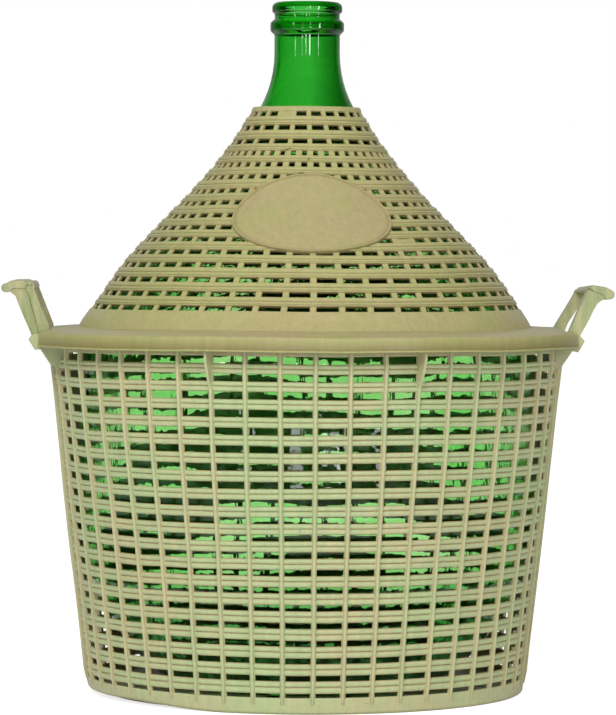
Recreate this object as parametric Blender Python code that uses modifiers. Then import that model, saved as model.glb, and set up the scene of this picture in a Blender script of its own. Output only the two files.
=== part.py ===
"""A 54 litre glass demijohn in a moulded basket with a conical cover.

Metres, +Z up. The origin is under the middle of the basket's floor, the front is -Y and the
handles are at -X and +X. Three pieces: the glass bottle stands on the basket's floor, and the
cover rests on the basket's rim. Both lift straight up.
"""

from bisect import bisect_right
from itertools import accumulate
from math import acos, atan2, ceil, cos, hypot, pi, radians, sin, tan

import bmesh
import bpy
from mathutils import Matrix, Vector

# The whole: from the floor to the mouth, and across both handles
TOTAL_HEIGHT = 0.687
TOTAL_WIDTH = 0.6020

# Glass, from the mouth down: each run goes outward and each drop goes down.
BORE_RADIUS = 0.0245
LIP_RADIUS = 0.0352
LIP_HEIGHT = 0.0095
GROOVE_DEPTH = 0.0024
GROOVE_HEIGHT = 0.0075
COLLAR_BULGE = 0.0038
COLLAR_HEIGHT = 0.0155
NECK_RADIUS = 0.0334
NECK_LENGTH = 0.0799
NECK_FLARE_DROP = 0.0758
SHOULDER_RUN = 0.1004
SHOULDER_DROP = 0.1057
LOW_SHOULDER_RUN = 0.0473
LOW_SHOULDER_DROP = 0.0696
BODY_SWELL = 0.0056
UPPER_BODY_DROP = 0.156
HEEL_RUN = 0.0955
HEEL_DROP = 0.0687
FOOT_WIDTH = 0.016
PUNT_RUN = 0.030
PUNT_HEIGHT = 0.014
GLASS_WALL = 0.0046

# Rounding of the glass
LIP_ROUND = 0.0025
NECK_ROUND = 0.113
SHOULDER_ROUND = 0.45
LOW_SHOULDER_ROUND = 0.30
BODY_ROUND = 0.10
HEEL_ROUND = 0.226
FOOT_ROUND = 0.010

# Clearances
SEAT_GAP = 0.0003
BODY_GAP = 0.0084
SHOULDER_GAP = 0.0030
SKIRT_GAP = 0.0025
EAR_GAP = 0.0010
HANDLE_GAP = 0.0030

# Lattice of the basket and of the cover
COLUMNS = 24
ROW_PITCH = 0.0166
SLAT_HEIGHT = 0.0103
RIB_WIDTH = 0.0068

# Basket
FLOOR_THICKNESS = 0.0080
BASKET_WALL = 0.0045
BASKET_DRAFT = radians(6.38)
BASE_BAND = 0.016
BASE_CHAMFER = 0.008
TOP_BAND = 0.017
RIM_ABOVE_BODY = 0.0010
RIM_WIDTH = 0.0123
RIM_THICKNESS = 0.003
DRAIN_SLOTS = 12
DRAIN_LENGTH = 0.080
DRAIN_WIDTH = 0.014
DRAIN_EDGE = 0.030

# Fins under the rim
FIN_ANGLES = (22.5, 157.5, 202.5, 337.5)
FIN_THICKNESS = 0.0035
FIN_DROP = 0.045

# Handles, each a loop that leans outward with a curled grip on top
HANDLE_LEAN = radians(24.5)
HANDLE_WIDTH = 0.153
HANDLE_HEIGHT = 0.053
HANDLE_THICKNESS = 0.0137
HANDLE_ROOT = 0.010
HANDLE_SET_IN = 0.0015
HANDLE_ROUND = 0.006
UPRIGHT_WIDTH = 0.019
GRIP_WIDTH = 0.02375
GRIP_THICKNESS = 0.0062
GRIP_DROOP = radians(8)
GRIP_BEAD_RADIUS = 0.0046
BRIDGE_HEIGHT = 0.008

# Ears below the handles
EAR_MARGIN = 0.002
EAR_REACH = 0.0031
EAR_LIP_DROP = 0.007
EAR_HEIGHT = 0.017
EAR_UNDERCUT = 0.0055
EAR_STEP = 0.006
EAR_PANEL_DROP = 0.0345

# Cover
COVER_WALL = 0.0035
COVER_TOP_DROP = 0.103
COVER_RING = 0.0065
COVER_BAND = 0.028
FLANGE_THICKNESS = 0.0030
SKIRT_THICKNESS = 0.0026
SKIRT_DROP = 0.016

# Oval plate on the cover's front
PLATE_WIDTH = 0.156
PLATE_HEIGHT = 0.103
PLATE_DROP = 0.137
PLATE_PROUD = 0.0018
PLATE_BACKING = 0.0014
PLATE_RIM_WIDTH = 0.0035
PLATE_RIM_PROUD = 0.0016
PLATE_RINGS = (0, 0.35, 0.7, 0.98)

# Smoothness
GLASS_STEPS = 24
TURNED_STEPS = 48
PLATE_STEPS = 24
ROUND_ERROR = 0.0016
WIDEST_STEP = radians(45)
SMOOTH_ANGLE = radians(35)
TINY = 1e-6

# Heights of the glass's corners: the straight body takes up what the rest leaves, and ends
# where the rounding of the heel starts, which is where it comes closest to the basket
MOUTH_Z = TOTAL_HEIGHT
FLARE_Z = MOUTH_Z - NECK_LENGTH
SHOULDER_Z = FLARE_Z - NECK_FLARE_DROP
LOW_SHOULDER_Z = SHOULDER_Z - SHOULDER_DROP
BODY_Z = LOW_SHOULDER_Z - LOW_SHOULDER_DROP
GIRTH_Z = BODY_Z - UPPER_BODY_DROP
FOOT_Z = FLOOR_THICKNESS + SEAT_GAP
HEEL_Z = FOOT_Z + HEEL_DROP
HEEL_TURN = atan2(HEEL_RUN, HEEL_DROP)
BODY_END_Z = min(GIRTH_Z, HEEL_Z + HEEL_ROUND * tan(HEEL_TURN / 2))
RIM_Z = BODY_Z + RIM_ABOVE_BODY
FLANGE_Z = RIM_Z + SEAT_GAP

# Radii, worked inward from the tips of the grips
GRIP_EDGE = TOTAL_WIDTH / 2
HANDLE_INSIDE = GRIP_EDGE - GRIP_WIDTH * cos(GRIP_DROOP) - HANDLE_HEIGHT * sin(HANDLE_LEAN)
HANDLE_FACE = HANDLE_INSIDE + HANDLE_THICKNESS / cos(HANDLE_LEAN)
RIM_RADIUS = HANDLE_FACE + HANDLE_SET_IN
BASKET_TOP_RADIUS = RIM_RADIUS - RIM_WIDTH
BASKET_INSIDE = BASKET_TOP_RADIUS - BASKET_WALL / cos(BASKET_DRAFT)
BODY_RADIUS = BASKET_INSIDE - (RIM_Z - BODY_END_Z) * tan(BASKET_DRAFT) - BODY_GAP
UPPER_BODY_RADIUS = BODY_RADIUS - BODY_SWELL
LOW_SHOULDER_RADIUS = UPPER_BODY_RADIUS - LOW_SHOULDER_RUN
SHOULDER_RADIUS = LOW_SHOULDER_RADIUS - SHOULDER_RUN
FOOT_RADIUS = BODY_RADIUS - HEEL_RUN
PUNT_RADIUS = FOOT_RADIUS - FOOT_WIDTH

FRONT = -pi / 2
SIDES = (0, pi)


def rounded(corners, closed=False):
    """The outline through (x, y, radius) corners, each rounded as far as its sides allow."""
    spots = [Vector(corner[:2]) for corner in corners]
    sides = [after - here for here, after in zip(spots, spots[1:] + spots[:1])]
    turns = [sides[index - 1].angle(side) for index, side in enumerate(sides)]
    if not closed:
        turns[0] = turns[-1] = 0
    wanted = [radius * tan(turn / 2) for (_, _, radius), turn in zip(corners, turns)]
    pairs = zip(sides, wanted, wanted[1:] + wanted[:1])
    shares = [min(1, 0.98 * side.length / max(here + after, TINY)) for side, here, after in pairs]
    points = []
    for index, (corner, turn) in enumerate(zip(spots, turns)):
        reach = wanted[index] * min(shares[index - 1], shares[index])
        if reach < TINY:
            points.append(corner)
            continue
        start = sides[index - 1].normalized() * -reach
        end = sides[index].normalized() * reach
        radius = reach / tan(turn / 2)
        middle = (start + end).normalized() * hypot(reach, radius)
        finest = 2 * acos(max(1 - ROUND_ERROR / radius, 0))
        steps = ceil(turn / min(finest, WIDEST_STEP))
        for step in range(steps + 1):
            angle = turn * step / steps
            spoke = (start - middle) * sin(turn - angle) + (end - middle) * sin(angle)
            points.append(corner + middle + spoke / sin(turn))
    return points


def shifted(corners, distance):
    """The corners of a line that runs down, with every side moved outward by the distance."""
    sides = []
    for (x0, y0, _), (x1, y1, _) in zip(corners, corners[1:]):
        way = Vector((x1 - x0, y1 - y0)).normalized()
        sides.append((Vector((x0, y0)) + Vector((-way.y, way.x)) * distance, way))
    moved = [sides[0][0]]
    for (here, way), (there, next_way) in zip(sides, sides[1:]):
        cross = way.cross(next_way)
        along = (there - here).cross(next_way) / cross if abs(cross) > TINY else 0
        moved.append(here + way * along if along else there)
    moved.append(sides[-1][0] + Vector(corners[-1][:2]) - Vector(corners[-2][:2]))
    return [(point.x, point.y, corner[2]) for point, corner in zip(moved, corners)]


def between(corners, high, low):
    """The part of a line that runs down, from one height to the other."""
    kept = [corner for corner in corners if low < corner[1] < high]
    return [(radius_at(corners, high), high, 0), *kept, (radius_at(corners, low), low, 0)]


def radius_at(corners, height):
    for (x0, y0, _), (x1, y1, _) in zip(corners, corners[1:]):
        if y0 >= height >= y1 and y0 > y1:
            return x0 + (x1 - x0) * (y0 - height) / (y0 - y1)
    return corners[0][0] if height > corners[0][1] else corners[-1][0]


def glass_side(neck_radius):
    """Corners of the glass's side from the mouth to the middle of the base, for a plain neck."""
    flare_slope = NECK_FLARE_DROP / (SHOULDER_RADIUS - NECK_RADIUS)
    neck_end = FLARE_Z + (NECK_RADIUS - neck_radius) * flare_slope
    punt_z = FOOT_Z + PUNT_HEIGHT
    return [
        (neck_radius, MOUTH_Z, 0),
        (neck_radius, neck_end, NECK_ROUND),
        (SHOULDER_RADIUS, SHOULDER_Z, SHOULDER_ROUND),
        (LOW_SHOULDER_RADIUS, LOW_SHOULDER_Z, LOW_SHOULDER_ROUND),
        (UPPER_BODY_RADIUS, BODY_Z, BODY_ROUND),
        (BODY_RADIUS, GIRTH_Z, 0),
        (BODY_RADIUS, HEEL_Z, HEEL_ROUND),
        (FOOT_RADIUS, FOOT_Z, FOOT_ROUND),
        (PUNT_RADIUS, FOOT_Z, 0),
        (PUNT_RADIUS - PUNT_RUN, punt_z, 0),
        (0, punt_z, 0),
    ]


def mouth_corners():
    """Corners of the lip, the groove and the collar bead, from the bore outward and down."""
    groove_radius = LIP_RADIUS - GROOVE_DEPTH
    collar_radius = NECK_RADIUS + COLLAR_BULGE
    lip_end = MOUTH_Z - LIP_HEIGHT
    collar_top = lip_end - GROOVE_HEIGHT
    slope = COLLAR_HEIGHT / 4
    collar_end = collar_top - COLLAR_HEIGHT
    return [
        (BORE_RADIUS, MOUTH_Z, 0),
        (LIP_RADIUS, MOUTH_Z, LIP_ROUND),
        (LIP_RADIUS, lip_end, 0),
        (groove_radius, lip_end - GROOVE_HEIGHT / 4, 0),
        (groove_radius, collar_top, 0),
        (collar_radius, collar_top - slope, LIP_ROUND),
        (collar_radius, collar_end + slope, LIP_ROUND),
        (NECK_RADIUS, collar_end, 0),
    ]


def basket_radius(height):
    """The outside of the basket's wall at a height."""
    return BASKET_TOP_RADIUS + (height - RIM_Z) * tan(BASKET_DRAFT)


def cover_line():
    """Corners of the cover's outside, which follows the glass's shoulder down to the flange."""
    line = shifted(glass_side(NECK_RADIUS)[:6], SHOULDER_GAP + COVER_WALL)
    return between(line, MOUTH_Z - COVER_TOP_DROP, FLANGE_Z + FLANGE_THICKNESS / 2)


def new_material(name, colour, roughness, transmission=0.0):
    made = bpy.data.materials.new(name)
    made.use_nodes = True
    shader = made.node_tree.nodes["Principled BSDF"]
    shader.inputs["Base Color"].default_value = (*colour, 1.0)
    shader.inputs["Metallic"].default_value = 0.0
    shader.inputs["Roughness"].default_value = roughness
    shader.inputs["Transmission Weight"].default_value = transmission
    return made


def new_object(name, mesh, collection):
    obj = bpy.data.objects.new(name, mesh)
    collection.objects.link(obj)
    return obj


def mesh_object(name, bm, collection):
    """An object from a closed bmesh, with its faces turned outward."""
    bmesh.ops.recalc_face_normals(bm, faces=bm.faces)
    mesh = bpy.data.meshes.new(name)
    bm.to_mesh(mesh)
    bm.free()
    return new_object(name, mesh, collection)


def turned(name, outline, steps, collection, closed=False):
    """An outline of (radius, height) points turned about Z, open at the axis or closed."""
    mesh = bpy.data.meshes.new(name)
    edges = [(index, index + 1) for index in range(len(outline) - 1)]
    if closed:
        edges.append((len(outline) - 1, 0))
    mesh.from_pydata([(x, 0, z) for x, z in outline], edges, [])
    obj = new_object(name, mesh, collection)
    screw = obj.modifiers.new("Turn", "SCREW")
    screw.steps = steps
    screw.render_steps = steps
    screw.use_merge_vertices = True
    screw.merge_threshold = TINY * 10
    screw.use_smooth_shade = True
    return obj


def flat_solid(name, outline, thickness, placement, collection):
    """A flat closed outline with a thickness, stood in XZ and then placed."""
    curve = bpy.data.curves.new(name, "CURVE")
    curve.dimensions = "2D"
    curve.fill_mode = "BOTH"
    curve.extrude = thickness / 2
    spline = curve.splines.new("POLY")
    spline.points.add(len(outline) - 1)
    for point, (x, y) in zip(spline.points, outline):
        point.co = (x, y, 0, 1)
    spline.use_cyclic_u = True
    guide = new_object(name + "_outline", curve, collection)
    graph = bpy.context.evaluated_depsgraph_get()
    bm = bmesh.new()
    mesh = bpy.data.meshes.new_from_object(guide.evaluated_get(graph))
    bm.from_mesh(mesh)
    bpy.data.meshes.remove(mesh)
    bpy.data.objects.remove(guide)
    bmesh.ops.remove_doubles(bm, verts=bm.verts, dist=TINY)
    bm.transform(placement @ Matrix.Rotation(pi / 2, 4, "X"))
    return mesh_object(name, bm, collection)


def join(target, piece, operation="UNION"):
    """Joins a helper to the target, or cuts it from the target, with a live Boolean."""
    piece.hide_render = True
    piece.display_type = "WIRE"
    boolean = target.modifiers.new(piece.name, "BOOLEAN")
    boolean.operation = operation
    boolean.solver = "EXACT"
    boolean.object = piece


def lattice(name, corners, first, last, wall, collection):
    """A turned wall of upright straps crossed by slats that come to a ridge outside.

    The straps lie flat on the outline through the corners and narrow inward, and the slats
    narrow outward from a flat back. The openings lie between the first and the last distance
    along the outline, and the wall is plain above and below them.
    """
    line = rounded(corners)
    marks = [0, *accumulate((b - a).length for a, b in zip(line, line[1:]))]
    length = marks[-1]
    rows = round((last - first + SLAT_HEIGHT) / ROW_PITCH)
    pitch = (last - first + SLAT_HEIGHT) / rows
    ridges = [first - SLAT_HEIGHT / 2 + pitch * row for row in range(rows + 1)]
    openings = [(a + SLAT_HEIGHT / 2, b - SLAT_HEIGHT / 2) for a, b in zip(ridges, ridges[1:])]
    ridges[0] = max(ridges[0], first / 5)
    ridges[-1] = min(ridges[-1], length - (length - last) / 5)
    top = [mark for mark in marks if mark < ridges[0] - TINY]
    bottom = [mark for mark in marks if mark > ridges[-1] + TINY]

    def spot(distance, depth):
        """The radius and height of a point on the line, or behind it."""
        side = min(bisect_right(marks, distance), len(marks) - 1)
        start, end = line[side - 1], line[side]
        way = (end - start).normalized()
        point = start + way * (distance - marks[side - 1])
        if distance in (0, length):
            return point - Vector((depth / -way.y, 0))
        return point - Vector((-way.y, way.x)) * depth

    bm = bmesh.new()
    rib_angles = [FRONT + (column + 0.5) * 2 * pi / COLUMNS for column in range(COLUMNS)]

    def ring(distance, depth, offsets):
        radius, height = spot(distance, depth)
        turns = [angle + offset / radius for angle in rib_angles for offset in offsets]
        return [bm.verts.new((radius * cos(turn), radius * sin(turn), height)) for turn in turns]

    front = [ring(mark, 0, (-RIB_WIDTH / 2, RIB_WIDTH / 2)) for mark in [*top, *ridges, *bottom]]
    back_marks = [0, *(mark for opening in openings for mark in opening), length]
    back = [ring(mark, wall, (0,)) for mark in back_marks]

    for column in range(COLUMNS):
        here, there = column, (column + 1) % COLUMNS
        left, right, beyond = 2 * here, 2 * here + 1, 2 * there
        for index, (over, under) in enumerate(zip(front, front[1:])):
            bm.faces.new((over[left], over[right], under[right], under[left]))
            if not len(top) <= index < len(top) + rows:
                bm.faces.new((over[right], over[beyond], under[beyond], under[right]))
        for row in range(rows):
            over, under = front[len(top) + row : len(top) + row + 2]
            high, low = back[2 * row + 1 : 2 * row + 3]
            bm.faces.new((over[right], over[beyond], high[there], high[here]))
            bm.faces.new((under[beyond], under[right], low[here], low[there]))
            bm.faces.new((over[right], high[here], low[here], under[right]))
            bm.faces.new((over[beyond], under[beyond], low[there], high[there]))
        for over, under in zip(back[::2], back[1::2]):
            bm.faces.new((over[here], over[there], under[there], under[here]))
        for edge, rear in ((front[0], back[0]), (front[-1], back[-1])):
            bm.faces.new((edge[right], edge[beyond], rear[there], rear[here]))
            bm.faces.new((edge[left], edge[right], rear[here]))
    return mesh_object(name, bm, collection)


def make_bottle(collection):
    outside = [*mouth_corners(), *glass_side(NECK_RADIUS)[1:]]
    inside = shifted(glass_side(BORE_RADIUS + GLASS_WALL), -GLASS_WALL)
    profile = rounded(inside)[:0:-1] + rounded(outside)
    return turned("glass_bottle", profile, GLASS_STEPS, collection)


def make_floor(collection):
    """The floor disc, which tapers with the wall that it is moulded into."""
    bm = bmesh.new()
    sink = BASKET_WALL / 2
    bmesh.ops.create_cone(
        bm,
        cap_ends=True,
        segments=COLUMNS,
        radius1=basket_radius(0) - BASE_CHAMFER / 2 - sink,
        radius2=basket_radius(FLOOR_THICKNESS) - sink,
        depth=FLOOR_THICKNESS,
    )
    half_column = Matrix.Rotation(pi / COLUMNS, 4, "Z")
    bm.transform(Matrix.Translation((0, 0, FLOOR_THICKNESS / 2)) @ half_column)
    return mesh_object("basket_floor", bm, collection)


def make_drains(collection):
    """Radial slots through the floor, in one cutter."""
    middle = basket_radius(0) - DRAIN_EDGE - DRAIN_LENGTH / 2
    bm = bmesh.new()
    for index in range(DRAIN_SLOTS):
        turn = Matrix.Rotation((index + 0.5) * 2 * pi / DRAIN_SLOTS, 4, "Z")
        size = Matrix.Diagonal((DRAIN_LENGTH, DRAIN_WIDTH, FLOOR_THICKNESS * 4, 1))
        bmesh.ops.create_cube(bm, size=1, matrix=turn @ Matrix.Translation((middle, 0, 0)) @ size)
    return mesh_object("basket_drains", bm, collection)


def make_rim(collection):
    inside = (basket_radius(RIM_Z) - BASKET_WALL) * cos(pi / COLUMNS) - SEAT_GAP
    low = RIM_Z - RIM_THICKNESS
    outline = [(inside, RIM_Z), (RIM_RADIUS, RIM_Z), (RIM_RADIUS, low), (inside, low)]
    return turned("basket_rim", outline, TURNED_STEPS, collection, closed=True)


def make_fin(degrees, collection):
    """A thin web from the wall to the underside of the rim."""
    top = RIM_Z - RIM_THICKNESS / 2
    low = top - FIN_DROP
    sink = BASKET_WALL / 2
    edge = RIM_RADIUS - RIM_THICKNESS / 2
    outline = [
        (basket_radius(top) - sink, top),
        (basket_radius(low) - sink, low),
        (basket_radius(low) - sink / 4, low),
        (edge, top - RIM_THICKNESS),
        (edge, top),
    ]
    turn = Matrix.Rotation(FRONT + radians(degrees), 4, "Z")
    return flat_solid(f"basket_fin_{degrees:.0f}", outline, FIN_THICKNESS, turn, collection)


def make_ear(side, core, collection):
    """The block that squares off the rim under a handle, with a lip and a sloped panel."""
    lip = HANDLE_FACE + EAR_REACH
    top = RIM_Z - RIM_THICKNESS / 2
    panel_end = RIM_Z - EAR_PANEL_DROP
    inside = basket_radius(panel_end) * 0.9
    outline = [
        (inside, top),
        (inside, panel_end),
        (basket_radius(panel_end) - BASKET_WALL / 2, panel_end),
        (lip - EAR_UNDERCUT - EAR_STEP, RIM_Z - EAR_HEIGHT),
        (lip - EAR_UNDERCUT, RIM_Z - EAR_HEIGHT),
        (lip, RIM_Z - EAR_LIP_DROP),
        (HANDLE_FACE, top),
    ]
    turn = Matrix.Rotation(side, 4, "Z")
    width = HANDLE_WIDTH + 2 * EAR_MARGIN
    ear = flat_solid(f"basket_ear_{side:.0f}", outline, width, turn, collection)
    join(ear, core, "DIFFERENCE")
    return ear


def make_core(collection):
    """The room inside the basket up to the middle of its wall, which the ears stay out of."""
    bm = bmesh.new()
    low = RIM_Z - EAR_PANEL_DROP - BASKET_WALL
    high = RIM_Z + BASKET_WALL
    bmesh.ops.create_cone(
        bm,
        cap_ends=True,
        segments=COLUMNS,
        radius1=basket_radius(low) - BASKET_WALL / 2,
        radius2=basket_radius(high) - BASKET_WALL / 2,
        depth=high - low,
    )
    half_column = Matrix.Rotation(pi / COLUMNS, 4, "Z")
    bm.transform(Matrix.Translation((0, 0, (low + high) / 2)) @ half_column)
    return mesh_object("basket_core", bm, collection)


def make_handle(side, collection):
    """A leaning loop: two uprights and the bridge between them."""
    half = HANDLE_WIDTH / 2
    inner = half - UPRIGHT_WIDTH
    bridge = HANDLE_HEIGHT - BRIDGE_HEIGHT
    outline = rounded(
        [
            (-half, -HANDLE_ROOT, 0),
            (-half, HANDLE_HEIGHT, HANDLE_ROUND),
            (half, HANDLE_HEIGHT, HANDLE_ROUND),
            (half, -HANDLE_ROOT, 0),
            (inner, -HANDLE_ROOT, 0),
            (inner, bridge, HANDLE_ROUND),
            (-inner, bridge, HANDLE_ROUND),
            (-inner, -HANDLE_ROOT, 0),
        ],
        closed=True,
    )
    root = Vector(((HANDLE_FACE + HANDLE_INSIDE) / 2, 0, RIM_Z))
    lean = Matrix.Rotation(HANDLE_LEAN, 4, "Y") @ Matrix.Rotation(pi / 2, 4, "Z")
    place = Matrix.Rotation(side, 4, "Z") @ Matrix.Translation(root) @ lean
    return flat_solid(f"basket_handle_{side:.0f}", outline, HANDLE_THICKNESS, place, collection)


def make_grip(side, collection):
    """The curled plate on top of a handle, with a bead along its outer edge."""
    back = HANDLE_INSIDE + HANDLE_HEIGHT * sin(HANDLE_LEAN)
    top = RIM_Z + HANDLE_HEIGHT * cos(HANDLE_LEAN)
    edge = GRIP_EDGE
    edge_top = top - GRIP_WIDTH * sin(GRIP_DROOP)
    bead = 2 * GRIP_BEAD_RADIUS
    outline = rounded(
        [
            (back, top, GRIP_THICKNESS / 3),
            (edge, edge_top, GRIP_BEAD_RADIUS),
            (edge, edge_top - GRIP_THICKNESS - GRIP_BEAD_RADIUS, GRIP_BEAD_RADIUS),
            (edge - bead, edge_top - GRIP_THICKNESS - GRIP_BEAD_RADIUS, GRIP_BEAD_RADIUS / 2),
            (edge - bead, edge_top - GRIP_THICKNESS, 0),
            (back, top - GRIP_THICKNESS, 0),
        ],
        closed=True,
    )
    turn = Matrix.Rotation(side, 4, "Z")
    return flat_solid(f"basket_grip_{side:.0f}", outline, HANDLE_WIDTH, turn, collection)


def make_basket(collection, helpers):
    top = RIM_Z - RIM_THICKNESS / 2
    chamfer = min(BASE_CHAMFER, (BASE_BAND - SLAT_HEIGHT / 2) * 0.8)
    corners = [
        (basket_radius(top), top, 0),
        (basket_radius(chamfer), chamfer, 0),
        (basket_radius(0) - BASE_CHAMFER / 2, 0, 0),
    ]
    first = (TOP_BAND - RIM_THICKNESS / 2) / cos(BASKET_DRAFT)
    last = (top - BASE_BAND) / cos(BASKET_DRAFT)
    basket = lattice("basket", corners, first, last, BASKET_WALL, collection)
    core = make_core(helpers)
    core.hide_render = True
    join(basket, make_floor(helpers))
    join(basket, make_rim(helpers))
    for degrees in FIN_ANGLES:
        join(basket, make_fin(degrees, helpers))
    for side in SIDES:
        join(basket, make_ear(side, core, helpers))
        join(basket, make_handle(side, helpers))
        join(basket, make_grip(side, helpers))
    join(basket, make_drains(helpers), "DIFFERENCE")
    return basket


def make_flange(collection):
    """The flat flange and the skirt that hangs outside the basket's rim."""
    cone = radius_at(cover_line(), FLANGE_Z + FLANGE_THICKNESS / 2)
    inside = (cone - COVER_WALL * 1.3) * cos(pi / COLUMNS) - SEAT_GAP
    skirt = RIM_RADIUS + SKIRT_GAP + SKIRT_THICKNESS
    top = FLANGE_Z + FLANGE_THICKNESS
    corners = [
        (inside, top, 0),
        (skirt, top, SKIRT_THICKNESS),
        (skirt, top - SKIRT_DROP, 0),
        (skirt - SKIRT_THICKNESS, top - SKIRT_DROP, 0),
        (skirt - SKIRT_THICKNESS, FLANGE_Z, 0),
        (inside, FLANGE_Z, 0),
    ]
    outline = rounded(corners, closed=True)
    return turned("cover_flange", outline, TURNED_STEPS, collection, closed=True)


def make_notch(side, collection):
    """The room that the cover leaves for a handle and its ear, open outward."""
    inside = HANDLE_INSIDE - HANDLE_GAP
    outside = RIM_RADIUS + RIM_WIDTH * 2
    half_width = HANDLE_WIDTH / 2 + EAR_MARGIN + EAR_GAP
    size = Matrix.Diagonal((outside - inside, 2 * half_width, SKIRT_DROP * 4, 1))
    place = Matrix.Translation(((inside + outside) / 2, 0, FLANGE_Z))
    bm = bmesh.new()
    bmesh.ops.create_cube(bm, size=1, matrix=Matrix.Rotation(side, 4, "Z") @ place @ size)
    return mesh_object(f"cover_notch_{side:.0f}", bm, collection)


def make_plate(collection):
    """The bare oval plate: a disc with a raised edge, bent into the wall of the cover's front.

    It is measured round the cone in degrees, so it is narrower above its middle than below.
    """
    line = rounded(cover_line())
    marks = [0, *accumulate((b - a).length for a, b in zip(line, line[1:]))]

    def spot(distance):
        """The radius and height at a length along the cone, and the way down there."""
        side = min(bisect_right(marks, distance), len(marks) - 1)
        way = (line[side] - line[side - 1]).normalized()
        return line[side - 1] + way * (distance - marks[side - 1]), way

    half_angle = PLATE_WIDTH / 2 / spot(PLATE_DROP)[0].x
    edge = 1 - 2 * PLATE_RIM_WIDTH / PLATE_HEIGHT
    raised = PLATE_PROUD + PLATE_RIM_PROUD
    back = -COVER_WALL - PLATE_BACKING
    section = [(share * edge, PLATE_PROUD) for share in PLATE_RINGS]
    section += [(edge, raised), (1, raised), (1, back)]
    section += [(share * edge, back) for share in reversed(PLATE_RINGS[:-1])]
    bm = bmesh.new()
    verts = [bm.verts.new((share, 0, depth)) for share, depth in section]
    edges = [bm.edges.new(pair) for pair in zip(verts, verts[1:])]
    bmesh.ops.spin(
        bm,
        geom=[*verts, *edges],
        axis=(0, 0, 1),
        steps=PLATE_STEPS,
        angle=2 * pi,
        use_merge=True,
    )
    bmesh.ops.remove_doubles(bm, verts=bm.verts, dist=TINY)
    for vert in bm.verts:
        point, way = spot(PLATE_DROP - vert.co.y * PLATE_HEIGHT / 2)
        angle = FRONT + vert.co.x * half_angle
        radius, height = point + Vector((-way.y, way.x)) * vert.co.z
        vert.co = (radius * cos(angle), radius * sin(angle), height)
    return mesh_object("cover_plate", bm, collection)


def make_cover(collection, helpers):
    corners = cover_line()
    line = rounded(corners)
    length = sum((b - a).length for a, b in zip(line, line[1:]))
    last = length - COVER_BAND
    cover = lattice("cover", corners, COVER_RING, last, COVER_WALL, collection)
    join(cover, make_flange(helpers))
    for side in SIDES:
        join(cover, make_notch(side, helpers), "DIFFERENCE")
    join(cover, make_plate(helpers))
    return cover


def finish(obj, finish_material, parent):
    obj.data.materials.append(finish_material)
    obj.parent = parent
    obj.data.shade_smooth()
    obj.data.set_sharp_from_angle(angle=SMOOTH_ANGLE)


def main():
    for obj in list(bpy.data.objects):
        bpy.data.objects.remove(obj)
    parts = bpy.data.collections.new("demijohn")
    helpers = bpy.data.collections.new("demijohn_helpers")
    bpy.context.scene.collection.children.link(parts)
    bpy.context.scene.collection.children.link(helpers)
    origin = new_object("demijohn_origin", None, parts)
    glass = new_material("green_glass", (0.004, 0.26, 0.012), 0.04, transmission=1.0)
    basket_plastic = new_material("basket_plastic", (0.55, 0.58, 0.34), 0.42)
    cover_plastic = new_material("cover_plastic", (0.49, 0.44, 0.22), 0.40)
    finish(make_bottle(parts), glass, origin)
    finish(make_basket(parts, helpers), basket_plastic, origin)
    finish(make_cover(parts, helpers), cover_plastic, origin)


main()
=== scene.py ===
"""The looks of the demijohn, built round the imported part.

Metres, +Z up, front -Y, handles at -X and +X. The glass rides on the body "bottle", the lower
lattice with its rim and handles on "basket", and the conical lattice on "cover".
"""

from bisect import bisect_right
from itertools import accumulate
from math import ceil, cos, hypot, pi, radians, sin, tan

import bmesh
import bpy
from mathutils import Matrix, Vector, noise


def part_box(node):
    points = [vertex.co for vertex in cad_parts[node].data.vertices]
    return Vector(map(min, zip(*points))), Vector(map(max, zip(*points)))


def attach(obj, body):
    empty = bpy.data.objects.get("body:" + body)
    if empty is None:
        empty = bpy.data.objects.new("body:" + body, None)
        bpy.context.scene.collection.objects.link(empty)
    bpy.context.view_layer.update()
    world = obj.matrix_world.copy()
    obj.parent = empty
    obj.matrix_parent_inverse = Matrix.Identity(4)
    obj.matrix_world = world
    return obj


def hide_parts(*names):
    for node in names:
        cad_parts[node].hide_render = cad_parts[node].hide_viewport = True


# Without a seed, noise_vector gives other values in every run
NOISE_SEED = 1
noise.seed_set(NOISE_SEED)

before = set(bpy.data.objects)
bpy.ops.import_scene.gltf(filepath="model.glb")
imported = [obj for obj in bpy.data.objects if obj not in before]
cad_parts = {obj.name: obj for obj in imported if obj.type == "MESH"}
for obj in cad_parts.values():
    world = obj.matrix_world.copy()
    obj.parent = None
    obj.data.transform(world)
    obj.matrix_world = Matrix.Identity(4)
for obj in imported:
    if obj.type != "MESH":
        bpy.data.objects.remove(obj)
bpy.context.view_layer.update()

# Camera, measured on the photograph
IMAGE_SIZE = (616, 715)
FOCAL_PIXELS = 3900
SENSOR_MM = 36
CAMERA_DISTANCE = 3.9
CAMERA_HEIGHT = 0.445
CAMERA_PITCH = radians(1.65)
CAMERA_ROLL = radians(0.22)
CAMERA_AIM = radians(0.03)
OBJECT_TURN = radians(2.1)

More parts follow.
